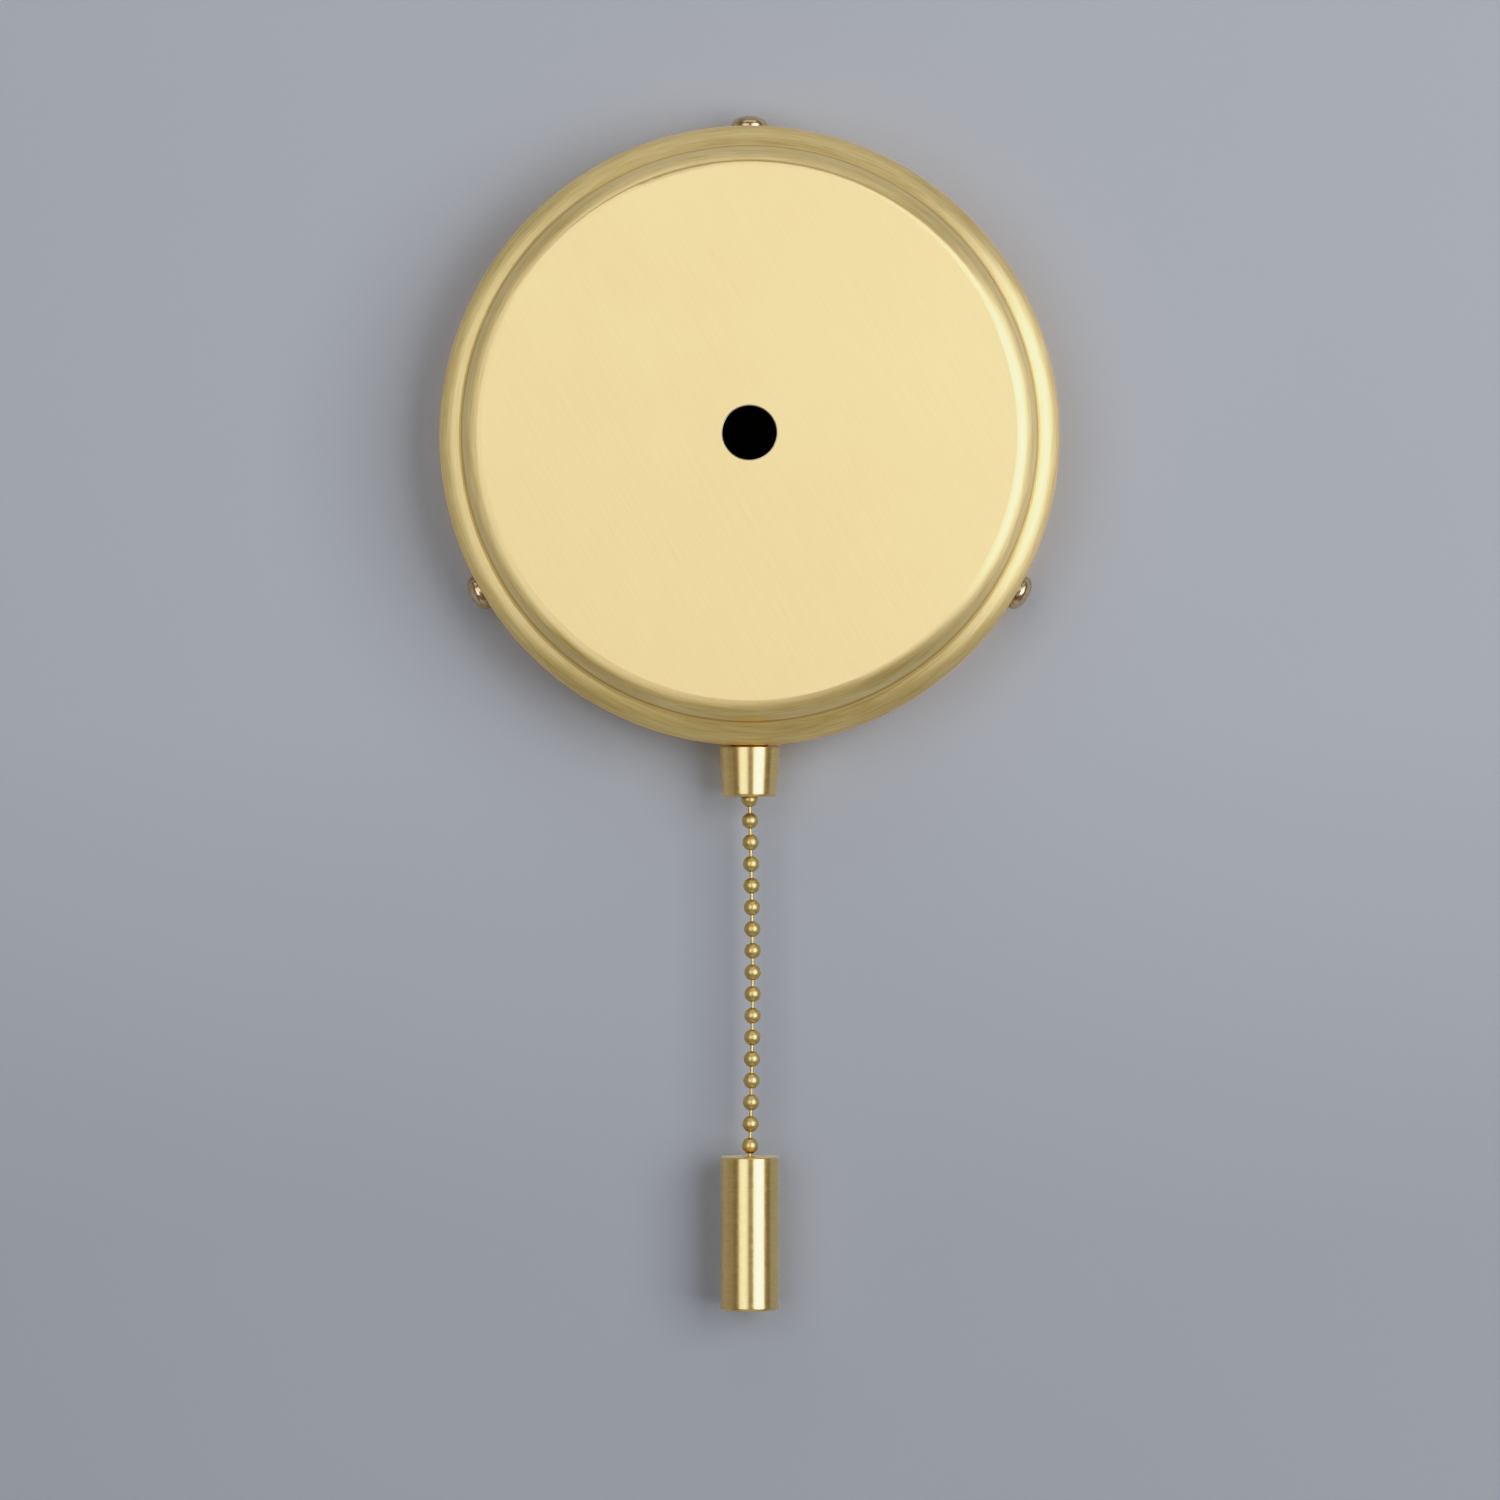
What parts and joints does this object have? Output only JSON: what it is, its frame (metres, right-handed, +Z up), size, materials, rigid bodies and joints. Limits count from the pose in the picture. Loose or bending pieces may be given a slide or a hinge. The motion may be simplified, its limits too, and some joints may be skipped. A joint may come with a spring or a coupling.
{
  "type": "pull cord switch",
  "caption": "Round brass wall canopy with a stepped rim, a centre pipe hole, side screws, and a bell nut from which a ball chain hangs with a turned cylindrical pull.",
  "frame": {"origin": "middle of the wall bracket's two screw slots, on the wall plane", "axes": "+X to the right as seen from the room, +Y into the wall, +Z up"},
  "size_m": [0.12, 0.025, 0.232],
  "materials": {
    "canopy_brass": "spun, brushed and lacquered satin",
    "turned_brass": "turned satin",
    "chain_brass": "satin",
    "screw_brass": "aged and polished",
    "plain_brass": "machined",
    "zinc_steel": "zinc plated",
    "spring_steel": "drawn",
    "black_phenolic": "moulded",
    "ivory_acetal": "moulded",
    "white_polyamide": "moulded",
    "brown_insulation": "extruded",
    "black_insulation": "extruded"
  },
  "bodies": {
    "canopy": {"canopy_cover": "canopy_brass", "canopy_screws": "screw_brass", "wall_bracket": "zinc_steel", "earth_screw": "zinc_steel", "earth_washer": "zinc_steel", "terminal_block": "white_polyamide", "terminal_sleeves": "plain_brass", "terminal_screws": "zinc_steel", "terminal_mount_screws": "zinc_steel", "switch_base": "black_phenolic", "switch_cover": "black_phenolic", "switch_rivets": "plain_brass", "switch_neck": "plain_brass", "neck_nut": "plain_brass", "lock_washer": "zinc_steel", "bell_nut": "turned_brass", "rotor_axle": "spring_steel", "contact_leaf_live": "plain_brass", "contact_leaf_switched": "plain_brass", "clamp_blocks": "plain_brass", "clamp_screws": "zinc_steel", "detent_leaf": "spring_steel", "return_spring": "spring_steel", "lead_live": "brown_insulation", "lead_switched": "black_insulation"},
    "slider": {"pull_slider": "ivory_acetal", "drive_finger": "spring_steel", "inner_chain": "chain_brass"},
    "rotor": {"rotor": "ivory_acetal", "contact_ring": "plain_brass"},
    "link_01": {"chain_segment_01": "chain_brass"},
    "link_02": {"chain_segment_02": "chain_brass"},
    "link_03": {"chain_segment_03": "chain_brass"},
    "link_04": {"chain_segment_04": "chain_brass"},
    "link_05": {"chain_segment_05": "chain_brass"},
    "link_06": {"chain_segment_06": "chain_brass"},
    "link_07": {"chain_segment_07": "chain_brass"},
    "link_08": {"chain_segment_08": "chain_brass"},
    "link_09": {"chain_segment_09": "chain_brass"},
    "link_10": {"chain_segment_10": "chain_brass"},
    "link_11": {"chain_segment_11": "chain_brass"},
    "link_12": {"chain_segment_12": "chain_brass"},
    "link_13": {"chain_segment_13": "chain_brass"},
    "link_14": {"chain_segment_14": "chain_brass"},
    "link_15": {"chain_segment_15": "chain_brass"},
    "link_16": {"chain_segment_16": "chain_brass"},
    "link_17": {"chain_segment_17": "chain_brass"},
    "pull": {"pull_weight": "turned_brass"}
  },
  "joints": [
    {"name": "chain_pull", "type": "slide", "parent": "canopy", "child": "slider", "axis": [0, 0, -1], "range_m": [0, 0.0072], "stiffness_N_per_m": 600, "springref_m": -0.008, "deforming": ["return_spring"]},
    {"name": "rotor_turn", "type": "hinge", "parent": "canopy", "child": "rotor", "pos_m": [-0.0102, -0.0085, -0.044], "axis": [0, 1, 0], "range_deg": [0, 90]},
    {"name": "chain_flex_01", "type": "hinge", "parent": "slider", "child": "link_01", "pos_m": [0.00002, -0.0085, -0.07115], "axis": [0, 1, 0], "range_deg": [-15, 15]},
    {"name": "chain_flex_02", "type": "hinge", "parent": "link_01", "child": "link_02", "pos_m": [0.00013, -0.0085, -0.07536], "axis": [1, 0, 0], "range_deg": [-15, 1.6]},
    {"name": "chain_flex_03", "type": "hinge", "parent": "link_02", "child": "link_03", "pos_m": [0.00024, -0.0085, -0.07956], "axis": [0, 1, 0], "range_deg": [-15, 15]},
    {"name": "chain_flex_04", "type": "hinge", "parent": "link_03", "child": "link_04", "pos_m": [0.00033, -0.0085, -0.08377], "axis": [-1, 0, 0], "range_deg": [-1.8, 15]},
    {"name": "chain_flex_05", "type": "hinge", "parent": "link_04", "child": "link_05", "pos_m": [0.00042, -0.0085, -0.08798], "axis": [0, -1, 0], "range_deg": [-15, 15]},
    {"name": "chain_flex_06", "type": "hinge", "parent": "link_05", "child": "link_06", "pos_m": [0.00049, -0.0085, -0.09218], "axis": [1, 0, 0], "range_deg": [-15, 2]},
    {"name": "chain_flex_07", "type": "hinge", "parent": "link_06", "child": "link_07", "pos_m": [0.00054, -0.0085, -0.09639], "axis": [0, -1, 0], "range_deg": [-15, 15]},
    {"name": "chain_flex_08", "type": "hinge", "parent": "link_07", "child": "link_08", "pos_m": [0.00058, -0.0085, -0.1006], "axis": [-1, 0, 0], "range_deg": [-2.2, 15]},
    {"name": "chain_flex_09", "type": "hinge", "parent": "link_08", "child": "link_09", "pos_m": [0.0006, -0.0085, -0.10481], "axis": [0, -1, 0], "range_deg": [-15, 15]},
    {"name": "chain_flex_10", "type": "hinge", "parent": "link_09", "child": "link_10", "pos_m": [0.00059, -0.0085, -0.10901], "axis": [1, 0, 0], "range_deg": [-15, 2.5]},
    {"name": "chain_flex_11", "type": "hinge", "parent": "link_10", "child": "link_11", "pos_m": [0.00057, -0.0085, -0.11322], "axis": [0, -1, 0], "range_deg": [-15, 15]},
    {"name": "chain_flex_12", "type": "hinge", "parent": "link_11", "child": "link_12", "pos_m": [0.00053, -0.0085, -0.11743], "axis": [-1, 0, 0], "range_deg": [-2.9, 15]},
    {"name": "chain_flex_13", "type": "hinge", "parent": "link_12", "child": "link_13", "pos_m": [0.00046, -0.0085, -0.12163], "axis": [0, 1, 0], "range_deg": [-15, 15]},
    {"name": "chain_flex_14", "type": "hinge", "parent": "link_13", "child": "link_14", "pos_m": [0.00039, -0.0085, -0.12584], "axis": [1, 0, 0], "range_deg": [-15, 3.5]},
    {"name": "chain_flex_15", "type": "hinge", "parent": "link_14", "child": "link_15", "pos_m": [0.0003, -0.0085, -0.13005], "axis": [0, 1, 0], "range_deg": [-15, 15]},
    {"name": "chain_flex_16", "type": "hinge", "parent": "link_15", "child": "link_16", "pos_m": [0.0002, -0.0085, -0.13425], "axis": [-1, 0, 0], "range_deg": [-4.4, 15]},
    {"name": "chain_flex_17", "type": "hinge", "parent": "link_16", "child": "link_17", "pos_m": [0.00009, -0.0085, -0.13846], "axis": [0, -1, 0], "range_deg": [-15, 15]},
    {"name": "pull_spin", "type": "hinge", "parent": "link_17", "child": "pull", "pos_m": [0, -0.0085, -0.14188], "axis": [0, 0, 1], "continuous": true}
  ],
  "couplings": [
    {"joint": "rotor_turn", "follows": "chain_pull", "rad_per_m": 218.16}
  ]
}
